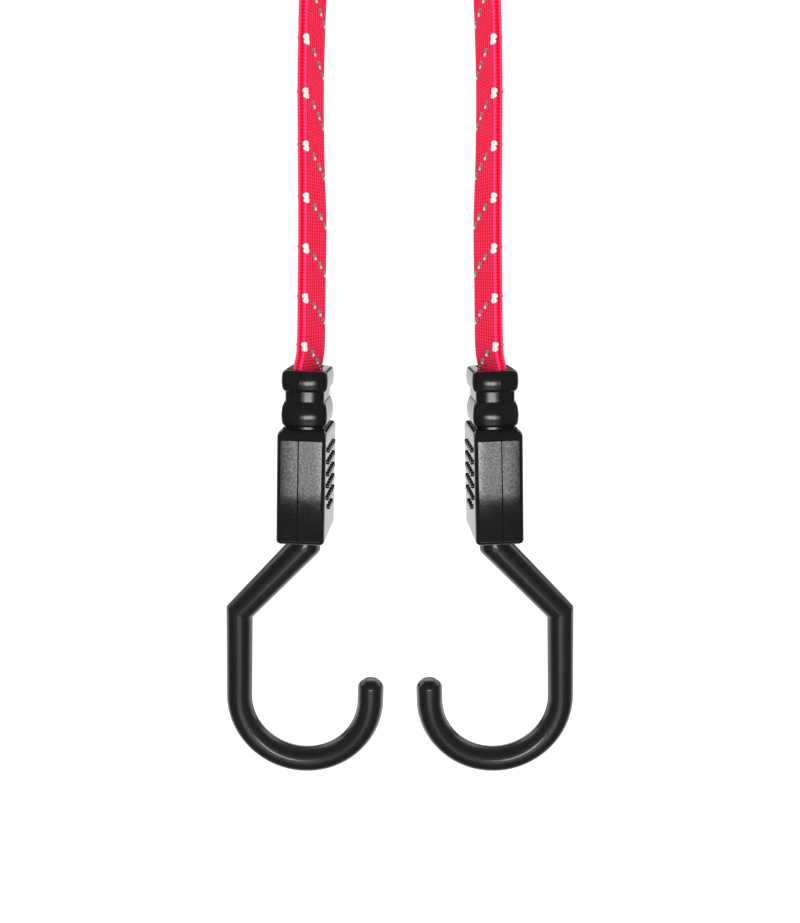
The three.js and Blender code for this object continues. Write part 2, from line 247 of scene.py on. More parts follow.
# How far a tool runs past what it cuts, how near a vertex counts as on a plane, in millimetres, and
# how nearly a normal points one way
OVERRUN = 1
ON_PLANE = 0.01
FACING = 0.9
FACING_FLAT = 0.98

# How strongly large faces lead the normals at their corners, where 50 is neutral
FLAT_WEIGHT = 80

# Levels worked out from these sizes, in millimetres from the mouth
BODY_TOP = -(RING_ONE + GROOVE + RING_TWO + FOOT)
BODY_BOTTOM = BODY_TOP - BODY_HEIGHT
FIRST_STUD_ROW = BODY_TOP - STUD_DROP


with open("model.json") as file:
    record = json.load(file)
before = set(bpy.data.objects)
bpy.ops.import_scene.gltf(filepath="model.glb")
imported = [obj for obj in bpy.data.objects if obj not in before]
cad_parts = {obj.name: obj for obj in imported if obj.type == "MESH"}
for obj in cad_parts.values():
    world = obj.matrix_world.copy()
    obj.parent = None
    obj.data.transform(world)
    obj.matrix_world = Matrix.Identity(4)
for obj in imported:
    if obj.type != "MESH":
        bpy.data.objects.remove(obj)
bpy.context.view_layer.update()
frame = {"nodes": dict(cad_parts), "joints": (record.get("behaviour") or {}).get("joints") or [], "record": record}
JOINTS = {joint["name"]: joint for joint in frame["joints"]}
MOUNTS = {mount["name"]: mount for mount in frame["record"]["mounts"]}


# Places

def inward(side):
    return 1 if side == "left" else -1


def end_place(side):
    """The frame of one end: x towards the other end, z up along its axis, the origin at its mouth."""
    swivel = JOINTS[side + "_hook_swivel"]
    up = -Vector(swivel["axis"])
    across = Vector(MOUNTS[side + "_back_face"]["axis"]).cross(up) * inward(side)
    along = up.cross(across)
    mouth = Vector(swivel["pos_m"]) - up * BODY_BOTTOM * MM
    turned = Matrix((across, along, up)).transposed().to_4x4()
    return Matrix.Translation(mouth) @ turned


# Camera, light and surroundings

def make_camera():
    camera = bpy.data.objects.new("camera", bpy.data.cameras.new("camera"))
    bpy.context.scene.collection.objects.link(camera)
    camera.location = CAMERA_PLACE
    camera.rotation_euler = (math.radians(90 - CAMERA_TILT), 0, 0)
    camera.data.sensor_width = SENSOR_WIDTH
    camera.data.lens = FOCAL_LENGTH / FRAME_HEIGHT * SENSOR_WIDTH
    camera.data.clip_start = NEAREST_SEEN
    bpy.context.scene.camera = camera


def strip_light(name, top, bottom, parts):
    """Nested soft boxes low in front of the object. Only gloss sees them.

    A soft box's energy is its radiance times pi times its area.
    """
    middle = (top + bottom) / 2
    height = top - bottom
    for number, (half, radiance) in enumerate(parts):
        light = bpy.data.lights.new(f"{name}_{number + 1}", "AREA")
        light.shape = "RECTANGLE"
        light.size = 2 * half
        light.size_y = height
        light.energy = radiance * math.pi * 2 * half * height
        lamp = bpy.data.objects.new(light.name, light)
        bpy.context.scene.collection.objects.link(lamp)
        lamp.location = (0, -STRIP_DISTANCE - number * STRIP_LAYER, middle)
        lamp.rotation_euler = (math.radians(90), 0, 0)
        lamp.visible_diffuse = False


class Signal:
    """A value inside a node tree that can be added, subtracted and multiplied like a number."""

    def __init__(self, tree, socket):
        self.tree = tree
        self.socket = socket

    def __add__(self, other):
        return self.tree.math("ADD", self, other)

    def __sub__(self, other):
        return self.tree.math("SUBTRACT", self, other)

    def __rsub__(self, other):
        return self.tree.math("SUBTRACT", other, self)

    def __mul__(self, other):
        return self.tree.math("MULTIPLY", self, other)

    __radd__ = __add__
    __rmul__ = __mul__


class Nodes:
    """The node tree of a finish or of the world."""

    def __init__(self, tree):
        self.tree = tree
        tree.nodes.clear()

    def node(self, kind, settings=None, inputs=None, output=0):
        made = self.tree.nodes.new(kind)
        for name, value in (settings or {}).items():
            setattr(made, name, value)
        for name, value in (inputs or {}).items():
            if isinstance(value, Signal):
                self.tree.links.new(value.socket, made.inputs[name])
            else:
                made.inputs[name].default_value = value
        return Signal(self, made.outputs[output])

    def math(self, operation, first, second=0.0):
        return self.node("ShaderNodeMath", {"operation": operation}, {0: first, 1: second})

    def wave(self, angle):
        return self.math("SINE", angle)

    def step(self, value, low, high):
        """0 below low, 1 above high and smooth between them."""
        settings = {"interpolation_type": "SMOOTHSTEP", "clamp": True}
        return self.node("ShaderNodeMapRange", settings, {0: value, 1: low, 2: high, 3: 0.0, 4: 1.0})

    def blend(self, share, first, second):
        """The first colour where share is 0 and the second where it is 1.

        The node names its sockets alike for every kind of data, so those for colours go by number.
        """
        settings = {"data_type": "RGBA"}
        return self.node("ShaderNodeMix", settings, {0: share, 6: first, 7: second}, 2)

    def place(self):
        """The object's own coordinates, in millimetres."""
        coordinates = self.node("ShaderNodeTexCoord", output="Object")
        return self.node("ShaderNodeVectorMath", {"operation": "SCALE"}, {0: coordinates, 3: 1 / MM})

    def parts(self, vector):
        """The three parts of a vector."""
        return [self.node("ShaderNodeSeparateXYZ", inputs={0: vector}, output=k) for k in range(3)]

    def noise(self, vector, scale, detail, roughness):
        inputs = {"Vector": vector, "Scale": scale, "Detail": detail, "Roughness": roughness}
        return self.node("ShaderNodeTexNoise", inputs=inputs)

    def bump(self, height, relief, strength):
        """A normal from a height of 0 to 1 over a relief in metres."""
        inputs = {"Height": height, "Distance": relief, "Strength": strength}
        return self.node("ShaderNodeBump", inputs=inputs)

    def attribute(self, name):
        """The piece's own attribute of that name, as a number."""
        return self.node("ShaderNodeAttribute", {"attribute_name": name}, output="Fac")

    def surface(self, shader, kind="Material"):
        out = self.tree.nodes.new("ShaderNodeOutput" + kind)
        self.tree.links.new(shader.socket, out.inputs["Surface"])

    def principled(self, inputs):
        self.surface(self.node("ShaderNodeBsdfPrincipled", inputs=inputs))


def colour(red, green, blue):
    return (red, green, blue, 1.0)


def new_finish(name):
    material = bpy.data.materials.new(name)
    material.use_nodes = True
    return material, Nodes(material.node_tree)


def make_world():
    """Plain white light, and for gloss white behind the object, a brighter band above and dark elsewhere."""
    world = bpy.data.worlds.new("surroundings")
    bpy.context.scene.world = world
    world.cycles.sampling_method = "NONE"
    world.use_nodes = True
    nodes = Nodes(world.node_tree)
    glossy_ray = nodes.node("ShaderNodeLightPath", output="Is Glossy Ray")
    direction = nodes.node("ShaderNodeTexCoord", output="Generated")
    across, depth, height = nodes.parts(direction)
    behind = nodes.step(depth, *REAR_EDGE)
    aside = nodes.step(nodes.math("ABSOLUTE", across), *SIDE_EDGE)
    low = 1 - nodes.step(height + aside * SIDE_TOP_DROP, *REAR_TOP)
    high = nodes.step(height, *HIGH_FOOT) * (1 - nodes.step(height, *HIGH_TOP))
    gloss = FRONT_GLOSS + behind * (low * REAR_GLOSS + high * TOP_GLOSS)
    level = glossy_ray * gloss + (1 - glossy_ray) * LIGHT_LEVEL
    inputs = {"Color": colour(1, 1, 1), "Strength": level}
    nodes.surface(nodes.node("ShaderNodeBackground", inputs=inputs), "World")


def make_floor():
    """A white floor well below the hooks. It keeps the object's faint shadow."""
    bpy.ops.mesh.primitive_plane_add(size=FLOOR_SIZE, location=(0, 0, FLOOR_LEVEL))
    floor = bpy.context.object
    floor.name = "floor"
    material, nodes = new_finish("floor_white")
    camera_ray = nodes.node("ShaderNodeLightPath", output="Is Camera Ray")
    white = colour(FLOOR_WHITE, FLOOR_WHITE, FLOOR_WHITE)
    matte = nodes.node("ShaderNodeBsdfDiffuse", inputs={"Color": white})
    lift = camera_ray * 2 * (1 - FLOOR_WHITE)
    glow = nodes.node("ShaderNodeEmission", inputs={"Color": colour(1, 1, 1), "Strength": lift})
    nodes.surface(nodes.node("ShaderNodeAddShader", inputs={0: matte, 1: glow}))
    floor.data.materials.append(material)
    floor.visible_glossy = False


# Finishes

def housing_finish():
    """Black moulded nylon with a polish, less on the neck, and a faint grain on the narrow faces."""
    material, nodes = new_finish("black_nylon")
    place = nodes.place()
    grain = nodes.noise(place, 1.6, 3.0, 0.6)
    cloud = nodes.noise(place, 0.22, 2.0, 0.5)
    flat = nodes.attribute("flat")
    neck_part = nodes.attribute("neck")
    nodes.principled({
        "Base Color": nodes.blend(cloud, colour(0.010, 0.010, 0.0105), colour(0.016, 0.016, 0.0165)),
        "Roughness": 0.06 + 0.02 * cloud + 0.08 * neck_part,
        "Normal": nodes.bump(cloud, NYLON_RELIEF, 0.5),
        "Coat Weight": flat * nodes.step(grain, 0.35, 0.65),
        "Coat Roughness": 0.06,
        "IOR": 1.5,
    })
    return material


def hook_finish():
    """Black moulded cover: satin with faint flow marks, under a thin shine."""
    material, nodes = new_finish("black_hook_cover")
    place = nodes.place()
    flow = nodes.noise(place, 0.35, 3.0, 0.6)
    grain = nodes.noise(place, 3.0, 3.0, 0.6)
    nodes.principled({
        "Base Color": nodes.blend(flow, colour(0.010, 0.010, 0.0105), colour(0.015, 0.015, 0.0155)),
        "Roughness": 0.42 + 0.1 * flow,
        "Normal": nodes.bump(grain * 0.5 + flow * 0.5, COVER_RELIEF, 0.5),
        "Coat Weight": 0.7,
        "Coat Roughness": 0.12,
        "IOR": 1.5,
    })
    return material


def strap_finish():
    """Crimson polyester braid: yarns a millimetre wide that slant to and fro, with a painted pale pink sheen on
    the crests of the ribs, edges and stitches and painted shade in the hollows between them.
    """
    material, nodes = new_finish("crimson_braid")
    weave = nodes.node("ShaderNodeUVMap", {"uv_map": "weave"})
    around, along, _ = nodes.parts(weave)
    crest = nodes.attribute("crest")
    slant = nodes.math("PINGPONG", around, WALE_PITCH)
    stitch = nodes.wave((along + slant * STITCH_SLANT) * (2 * math.pi / STITCH_PITCH)) * 0.5 + 0.5
    wale = nodes.math("ABSOLUTE", nodes.wave(around * (math.pi / WALE_PITCH)))
    strands = nodes.node("ShaderNodeCombineXYZ", inputs={0: around * 3.0, 1: along * 0.9, 2: 0.0})
    fuzz = nodes.noise(strands, 2.0, 3.0, 0.6)
    # Painted light: the crests of the ribs and edges and the stitches are painted pale as a sheen, and the hollows
    # between them darker as shade. Only the fuzz is the yarn's own random tone.
    painted_sheen_shade_and_fuzz = crest * crest * 0.55 + stitch * 0.36 + fuzz * 0.25 - 0.2
    deep = nodes.blend(fuzz, colour(0.86, 0.001, 0.008), colour(0.92, 0.002, 0.016))
    # The pale pink colour of the painted sheen.
    painted_sheen_colour = nodes.blend(fuzz, colour(0.98, 0.028, 0.130), colour(0.98, 0.090, 0.290))
    height = stitch * (0.35 + wale * 0.65) + fuzz * 0.35
    nodes.principled({
        "Base Color": nodes.blend(nodes.step(painted_sheen_shade_and_fuzz, 0.1, 0.85), deep, painted_sheen_colour),
        "Roughness": 0.7,
        "Normal": nodes.bump(height, BRAID_RELIEF, 0.6),
        "Specular IOR Level": 0.05,
    })
    return material


def tracer_finish():
    """Reflective yarn: grey green, with its reflection painted on as a white glint, full in the middle of a float
    and gone at its rim, where it dives under the braid.
    """
    material, nodes = new_finish("reflective_yarn")
    core = nodes.step(nodes.attribute("core"), 0.1, 0.7)
    fibre = nodes.noise(nodes.place(), 5.0, 3.0, 0.6)
    nodes.principled({
        "Base Color": nodes.blend(core, colour(0.17, 0.24, 0.22), colour(0.93, 0.95, 0.94)),
        "Roughness": 0.3 + 0.15 * fibre,
        "Normal": nodes.bump(fibre, YARN_RELIEF, 0.5),
    })
    return material


def rubber_finish():
    """Raw rubber, dusted with talc."""
    material, nodes = new_finish("raw_rubber")
    talc = nodes.noise(nodes.place(), 1.4, 4.0, 0.6)
    nodes.principled({
        "Base Color": nodes.blend(talc, colour(0.52, 0.42, 0.27), colour(0.72, 0.66, 0.52)),
        "Roughness": 0.65 + 0.2 * talc,
        "Normal": nodes.bump(talc, RUBBER_RELIEF, 0.6),
    })
    return material


def steel_finish():
    """Zinc plate on drawn steel, faintly mottled."""
    material, nodes = new_finish("zinc_plate")
    place = nodes.place()
    spangle = nodes.noise(place, 0.8, 3.0, 0.6)
    drawn = nodes.noise(place, 6.0, 2.0, 0.5)
    nodes.principled({
        "Base Color": nodes.blend(spangle, colour(0.50, 0.52, 0.54), colour(0.66, 0.67, 0.68)),
        "Metallic": 1.0,
        "Roughness": 0.28 + 0.14 * spangle,
        "Normal": nodes.bump(drawn, STEEL_RELIEF, 0.5),
    })
    return material


# Mesh tools

def only(piece):
    """Makes one object the selected and active one."""
    bpy.ops.object.select_all(action="DESELECT")
    piece.select_set(True)
    bpy.context.view_layer.objects.active = piece


def edit(piece, *steps):
    """Runs the steps, each a call with no arguments, in edit mode with all of the piece selected."""
    only(piece)
    bpy.ops.object.mode_set(mode="EDIT")
    bpy.ops.mesh.select_all(action="SELECT")
    for step in steps:
        step()
    bpy.ops.object.mode_set(mode="OBJECT")


def select_together(pieces):
    """Selects several objects, the first of them as the active one."""
    only(pieces[0])
    for piece in pieces:
        piece.select_set(True)


def mesh_piece(name, points, faces):
    """An object at the origin with a mesh of these points and faces."""
    mesh = bpy.data.meshes.new(name)
    mesh.from_pydata(points, [], faces)
    piece = bpy.data.objects.new(name, mesh)
    bpy.context.scene.collection.objects.link(piece)
    return piece


def face_outwards():
    bpy.ops.mesh.select_all(action="SELECT")
    bpy.ops.mesh.normals_make_consistent(inside=False)


def apply_modifier(piece, kind, **settings):
    only(piece)
    modifier = piece.modifiers.new(kind.lower(), kind)
    for name, value in settings.items():
        setattr(modifier, name, value)
    bpy.ops.object.modifier_apply(modifier=modifier.name)


def apply_place(piece):
    only(piece)
    bpy.ops.object.transform_apply(location=True, rotation=True, scale=True)
    return piece


def combine(piece, tool, operation):
    """Joins, cuts or trims the piece with the tool, which is used up."""
    apply_modifier(piece, "BOOLEAN", operation=operation, object=tool, solver="EXACT")
    bpy.data.objects.remove(tool)


def block(thick, wide, bottom, top):
    middle = (0, 0, (bottom + top) / 2)
    bpy.ops.mesh.primitive_cube_add(size=1, location=middle, scale=(thick, wide, top - bottom))
    return apply_place(bpy.context.object)


def rod(radius, bottom, top):
    middle = (0, 0, (bottom + top) / 2)
    bpy.ops.mesh.primitive_cylinder_add(
        vertices=ROD_SIDES, radius=radius, depth=top - bottom, location=middle,
    )
    return apply_place(bpy.context.object)


def pick(piece, wanted, kind="faces"):
    """Selects the faces, edges or vertices that the test wants and no others. Works in edit mode."""
    mesh = bmesh.from_edit_mesh(piece.data)
    modes = {"faces": {"FACE"}, "edges": {"EDGE"}, "verts": {"VERT"}}
    mesh.select_mode = modes[kind]
    for items in (mesh.verts, mesh.edges, mesh.faces):
        for item in items:
            item.select = False
    for item in getattr(mesh, kind):
        if wanted(item):
            item.select_set(True)
    mesh.select_flush_mode()
    bmesh.update_edit_mesh(piece.data)


def extrude_by(distance, scale=(1, 1, 1)):
    """Draws the selected face out along z and scales its new place."""
    bpy.ops.mesh.extrude_region_move(TRANSFORM_OT_translate={"value": (0, 0, distance)})
    bpy.ops.transform.resize(value=scale)


def finish_piece(piece, side, name):
    """Places a piece that was modelled in the frame of an end, names it and smooths it."""
    piece.data.transform(end_place(side) @ Matrix.Scale(MM, 4))
    piece.name = name
    piece.data.name = name
    only(piece)
    bpy.ops.object.shade_smooth_by_angle(angle=math.radians(MOULDED_SHARP))
    return piece


# Housing

def neck_outline(thick, wide):
    """Flat wide sides, narrow sides bulged on an arc, and round corners."""
    side = thick / 2 - NECK_CORNER
    reach = NECK_BULGE_RADIUS - NECK_CORNER
    turn = math.acos(side / reach)
    level = wide / 2 - NECK_BULGE_RADIUS
    corner = level + reach * math.sin(turn)
    quarter = []
    for step in range(CORNER_STEPS):
        angle = turn * step / CORNER_STEPS
        quarter.append((side + NECK_CORNER * math.cos(angle), corner + NECK_CORNER * math.sin(angle)))
    for step in range(BULGE_STEPS + 1):
        angle = turn + (math.pi / 2 - turn) * step / BULGE_STEPS
        quarter.append((NECK_BULGE_RADIUS * math.cos(angle), level + NECK_BULGE_RADIUS * math.sin(angle)))
    half = quarter + [(-x, y) for x, y in reversed(quarter[:-1])]
    return half + [(-x, -y) for x, y in half]


def ring_levels(top, height, rounding):
    """Levels and insets down one proud ring: crowned, and rounded high and deep at its top and foot."""
    (high, deep), (low_high, low_deep) = rounding
    bottom = top - height
    middle = (top - high + bottom + low_high) / 2

    def crown(level):
        return (level - middle) ** 2 / (2 * RING_CROWN_RADIUS)

    angles = [math.pi / 2 * step / CROWN_STEPS for step in range(CROWN_STEPS + 1)]
    deep -= crown(top)
    low_deep -= crown(bottom)
    levels = [(top - high * (1 - math.cos(a)), deep * (1 - math.sin(a))) for a in angles]
    flat = height - high - low_high
    levels += [(top - high - flat * step / CROWN_STEPS, 0) for step in range(1, CROWN_STEPS)]
    levels += [(bottom + low_high * (1 - math.sin(a)), low_deep * (1 - math.cos(a))) for a in angles]
    return [(level, inset + crown(level)) for level, inset in levels]


def neck():
    """The neck, drawn downwards from its mouth in small steps."""
    levels = ring_levels(0, RING_ONE, RING_ONE_ROUND)
    levels += [(-RING_ONE, RING_PROUD), (-RING_ONE - GROOVE, RING_PROUD)]
    levels += ring_levels(-RING_ONE - GROOVE, RING_TWO, RING_TWO_ROUND)
    levels += [(BODY_TOP + FOOT, RING_PROUD), (BODY_TOP - BODY_EDGE, RING_PROUD)]
    first, inset = levels[0]
    outline = neck_outline(RING_THICKNESS - 2 * inset, RING_WIDTH - 2 * inset)
    piece = mesh_piece("neck", [(x, y, first) for x, y in outline], [range(len(outline))])

    def draw_down():
        before = levels[0]
        for after in levels[1:]:
            thick = (RING_THICKNESS - 2 * after[1]) / (RING_THICKNESS - 2 * before[1])
            wide = (RING_WIDTH - 2 * after[1]) / (RING_WIDTH - 2 * before[1])
            if after != before:
                extrude_by(after[0] - before[0], (thick, wide, 1))
            before = after

    edit(piece, draw_down, face_outwards)
    return piece


def body():
    """The body: a block whose shoulders slope in to the neck, with all its edges rounded."""
    piece = block(BODY_THICKNESS, BODY_WIDTH, BODY_BOTTOM, BODY_TOP - SHOULDER_DROP)

    def raise_shoulders():
        pick(piece, lambda face: face.normal.z > FACING)
        extrude_by(SHOULDER_DROP, (1, RING_WIDTH / BODY_WIDTH, 1))

    edit(piece, raise_shoulders)
    apply_modifier(
        piece, "BEVEL", width=BODY_EDGE, segments=BEVEL_STEPS, limit_method="ANGLE",
        angle_limit=math.radians(BODY_SHARP),
    )
    return piece


def channel():
    """The hole for the strap: a funnel at the mouth, a flat channel below it and the clip's pocket."""
    piece = block(MOUTH_THICKNESS, CHANNEL_WIDTH, -MOUTH_STRAIGHT, OVERRUN)

    def narrow():
        pick(piece, lambda face: face.normal.z < -FACING)
        funnel = FUNNEL_DEPTH / MM
        extrude_by(MOUTH_STRAIGHT - funnel, (CHANNEL_THICKNESS / MOUTH_THICKNESS, 1, 1))
        extrude_by(funnel - CHANNEL_DEPTH)

    edit(piece, narrow)
    combine(piece, block(*CLIP_POCKET), "UNION")
    return piece


def stud_places():
    """The studs of one wide face, as places across and along it."""
    for row in range(STUD_ROWS):
        count = STUDS_IN_LAST_ROW if row == STUD_ROWS - 1 else STUDS_ACROSS
        for number in range(count):
            yield (number - (count - 1) / 2) * STUD_PITCH, FIRST_STUD_ROW - row * STUD_PITCH


def add_studs(piece, way):
    """Short round studs in rows on the wide face that looks along x."""
    studs = []
    for y, z in stud_places():
        place = (way * BODY_THICKNESS / 2, y, z)
        bpy.ops.mesh.primitive_cylinder_add(
            vertices=STUD_SIDES, radius=STUD_RADIUS, depth=2 * STUD_RISE, location=place,
            rotation=(0, math.pi / 2, 0),
        )
        studs.append(apply_place(bpy.context.object))
    select_together(studs)
    bpy.ops.object.join()
    joined = bpy.context.object
    apply_modifier(joined, "BEVEL", width=STUD_ROUND, segments=BEVEL_STEPS, limit_method="ANGLE")
    combine(piece, joined, "UNION")


def round_parting(piece, parting):
    """Rounds the outer edge that the parting plane leaves on the narrow faces, less on the neck."""

    def soften(lowest, highest, offset):
        def at_parting(edge):
            middle = (edge.verts[0].co + edge.verts[1].co) / 2
            on_plane = all(abs(vert.co.x - parting) < ON_PLANE for vert in edge.verts)
            outside = abs(middle.y) > CHANNEL_WIDTH / 2 + PARTING_MARGIN
            return on_plane and outside and lowest < middle.z < highest

        pick(piece, at_parting, "edges")
        bpy.ops.mesh.bevel(offset=offset, segments=PARTING_STEPS, affect="EDGES")

    edit(
        piece,
        lambda: soften(BODY_BOTTOM - OVERRUN, BODY_TOP, PARTING_ROUND),
        lambda: soften(BODY_TOP, OVERRUN, NECK_PARTING_ROUND),
    )


def mark_surfaces(piece):
    """Marks the body's grained narrow faces and the neck, which has less polish, as attributes."""
    mesh = piece.data
    flat = mesh.attributes.new("flat", "FLOAT", "FACE")
    neck_part = mesh.attributes.new("neck", "FLOAT", "FACE")
    for face in mesh.polygons:
        level = face.center.z
        narrow = level < BODY_TOP - SHOULDER_DROP and abs(face.normal.y) > FACING_FLAT
        flat.data[face.index].value = 1.0 if narrow else 0.0
        neck_part.data[face.index].value = 1.0 if level > BODY_TOP else 0.0


def housing_half(side, name, way):
    """One half of the housing. It lies on the x side that way points to, from the parting line on."""
    piece = body()
    combine(piece, neck(), "UNION")
    combine(piece, channel(), "DIFFERENCE")
    combine(piece, rod(BORE_RADIUS, BODY_BOTTOM - OVERRUN, SEAT_BOTTOM + OVERRUN), "DIFFERENCE")
    combine(piece, rod(SEAT_RADIUS, SEAT_BOTTOM, SEAT_TOP), "DIFFERENCE")
    parting = PARTING_SHIFT + way * PARTING_GAP / 2
    edit(piece, lambda: bpy.ops.mesh.bisect(
        plane_co=(parting, 0, 0), plane_no=(way, 0, 0), use_fill=True, clear_inner=True,
    ))
    round_parting(piece, parting)
    add_studs(piece, way)
    mark_surfaces(piece)
    finish_piece(piece, side, f"{side}_{name}")
    apply_modifier(piece, "WEIGHTED_NORMAL", keep_sharp=True, weight=FLAT_WEIGHT)
    return piece


# Hook

def hook_cover(side):
    """A round rod drawn along the hook: collar, shank, two mitred bends, the bight and a domed tip."""
    tilt = BEND_SLOPE / 2
    left = BIGHT_SHIFT - HOOK_RADIUS
    corner = Vector((0, 0, BODY_BOTTOM - BEND_DROP))
    elbow = corner + Vector((left, 0, left / math.tan(BEND_SLOPE)))
    start = COLLAR_TOP - COLLAR_HEIGHT / 2
    bpy.ops.mesh.primitive_circle_add(vertices=ROD_SIDES, radius=ROD_RADIUS, location=(0, 0, start))
    piece = apply_place(bpy.context.object)

    def extrude(vector, turn=0, stretch=(1, 1, 1), centre=(0, 0, 0)):
        """Draws the rod on by a vector, stretches its end while that lies flat, and turns it."""
        bpy.ops.mesh.extrude_region_move(TRANSFORM_OT_translate={"value": vector})
        if turn > 0:
            bpy.ops.transform.resize(value=stretch, center_override=centre)
        if turn:
            bpy.ops.transform.rotate(value=-turn, orient_axis="Y", center_override=centre)
        if turn < 0:
            bpy.ops.transform.resize(value=stretch, center_override=centre)

    def raise_flash():
        """Draws out the two points in the hook's own plane, which become its flash line."""
        pick(piece, lambda vert: abs(vert.co.y) < ON_PLANE, "verts")
        bpy.ops.transform.resize(value=(1 + FLASH_RISE / ROD_RADIUS, 1, 1), center_override=(0, 0, start))
        bpy.ops.mesh.select_all(action="SELECT")

    def draw():
        extrude(Vector((0, 0, BODY_BOTTOM - start)))
        share = SLOPE_TOP_SHARE
        extrude(Vector((0, 0, -BEND_DROP)), tilt, (share / math.cos(tilt), share, 1), corner)
        bpy.ops.mesh.extrude_region_move(TRANSFORM_OT_translate={"value": elbow - corner})
        bpy.ops.transform.resize(value=(SLOPE_FOOT_SHARE / share,) * 3, center_override=elbow)
        side_end = elbow - Vector((0, 0, SIDE_DROP))
        share = 1 / SLOPE_FOOT_SHARE
        extrude(Vector((0, 0, -SIDE_DROP)), -tilt, (share * math.cos(tilt), share, 1), side_end)
        centre = (BIGHT_SHIFT, 0, side_end.z)
        bpy.ops.mesh.spin(steps=BIGHT_STEPS, angle=math.pi, center=centre, axis=(0, 1, 0))
        extrude(Vector((0, 0, TIP_STRAIGHT)))
        before = (0, 1)
        for rise, share in DOME_SHARES:
            extrude(Vector((0, 0, (rise - before[0]) * ROD_RADIUS)))
            bpy.ops.transform.resize(value=(share / before[1],) * 3)
            before = (rise, share)
        bpy.ops.mesh.edge_face_add()
        pick(piece, lambda edge: edge.is_boundary, "edges")
        bpy.ops.mesh.edge_face_add()

    def round_mitre(place, offset):
        normal = Vector((math.sin(tilt), 0, math.cos(tilt)))

        def on_mitre(edge):
            return all(abs((vert.co - place).dot(normal)) < ON_PLANE for vert in edge.verts)

        pick(piece, on_mitre, "edges")
        bpy.ops.mesh.bevel(offset=offset, segments=BEVEL_STEPS, affect="EDGES")

    edit(
        piece,
        raise_flash,
        draw,
        face_outwards,
        lambda: round_mitre(corner, CORNER_ROUND),
        lambda: round_mitre(elbow, ELBOW_ROUND),
    )
    combine(piece, rod(COLLAR_RADIUS, COLLAR_TOP - COLLAR_HEIGHT, COLLAR_TOP), "UNION")
    return finish_piece(piece, side, f"{side}_hook")


# Strap

def strap_section():
    """Points round the strap's section: across, height, distance round in mm, and crest.

    The perimeter and the distance round to the front corner come with them.
    """
    lobe = STRAP_THICKNESS / 4
    flat = STRAP_WIDTH / 2 - lobe
    points = []

    def wide_face(sign):
        for step in range(RIB_COUNT * RIB_STEPS):
            share = step / (RIB_COUNT * RIB_STEPS)
            # On the wide faces the crest both shapes the rib and marks where the finish paints its sheen.
            crest = abs(math.sin(math.pi * step / RIB_STEPS))
            height = STRAP_THICKNESS / 2 - RIB_DEPTH * (1 - crest)
            points.append((sign * flat * (2 * share - 1), sign * height, crest))

    def narrow_edge(sign):
        for turn in (1, -1):
            for step in range(EDGE_STEPS):
                share = step / EDGE_STEPS
                start = 90 if turn == 1 else EDGE_CREASE
                angle = math.radians(start - (90 + EDGE_CREASE) * share)
                across = flat + lobe * math.cos(angle)
                height = turn * lobe + lobe * math.sin(angle)
                # On the narrow edge the crest only marks the painted sheen, paler there than on the ribs.
                points.append((sign * across, sign * height, EDGE_CREST * math.sin(math.pi * share)))

    wide_face(1)
    narrow_edge(1)
    wide_face(-1)
    corner = len(points)
    narrow_edge(-1)
    section = []
    around = 0.0
    for k, (across, height, crest) in enumerate(points):
        section.append((across, height, around / MM, crest))
        after = points[(k + 1) % len(points)]
        around += math.hypot(after[0] - across, after[1] - height)
    return section, around / MM, section[corner][2]


def smooth_line(points, pitch):
    """Points of x, z and twist at an even pitch on a smooth curve through the given ones.

    Each stretch is a cubic that leaves a point in the direction from the one before to the one after.
    """
    dense = []
    last = len(points) - 1
    for k in range(last):
        knots = [points[max(k - 1, 0)], points[k], points[k + 1], points[min(k + 2, last)]]
        for step in range(CURVE_STEPS):
            t = step / CURVE_STEPS
            weights = (
                (-t + 2 * t * t - t ** 3) / 2,
                (2 - 5 * t * t + 3 * t ** 3) / 2,
                (t + 4 * t * t - 3 * t ** 3) / 2,
                (-t * t + t ** 3) / 2,
            )
            dense.append(Vector([sum(w * knot[i] for w, knot in zip(weights, knots)) for i in range(3)]))
    dense.append(Vector(points[last]))
    line = [dense[0]]
    wanted = pitch
    travelled = 0.0
    for before, after in zip(dense, dense[1:]):
        length = math.hypot(after[0] - before[0], after[1] - before[1])
        while length > 0 and travelled + length >= wanted:
            line.append(before.lerp(after, (wanted - travelled) / length))
            wanted += pitch
        travelled += length
    if travelled - (wanted - pitch) > pitch / 2:
        line.append(dense[-1])
    return line


def strap_line(side):
    """Stations down one half of the strap, from the top of its loop into the mouth of its end."""
    place = end_place(side)
    points = [Vector((inward(side) * x, z, twist)) for x, z, twist in ROUTE]
    for step in range(FUNNEL_STEPS + 1):
        share = step / FUNNEL_STEPS
        shift = MOUTH_SHIFT * (1 - share)
        inside = place @ Vector((shift, 0, -FUNNEL_DEPTH * share))
        points.append(Vector((inside.x, inside.z, MOUTH_TWIST + (END_TWIST - MOUTH_TWIST) * share)))
    inside = place @ Vector((0, 0, -INSIDE_MOUTH))
    points.append(Vector((inside.x, inside.z, END_TWIST)))
    line = smooth_line(points, STATION_PITCH)
    other_half = Vector((-line[1].x, line[1].y, line[1].z))
    stations = []
    for k, here in enumerate(line):
        before = line[k - 1] if k else other_half
        after = line[min(k + 1, len(line) - 1)]
        along = Vector((after.x - before.x, 0, after.y - before.y)).normalized()
        outward = Vector((along.z, 0, -along.x)) * inward(side)
        back = Vector((0, 1, 0))
        turn = math.radians(here.z)
        across = back * math.cos(turn) - outward * math.sin(turn)
        up = outward * math.cos(turn) + back * math.sin(turn)
        stations.append((Vector((here.x, 0, here.y)), across, up))
    return stations


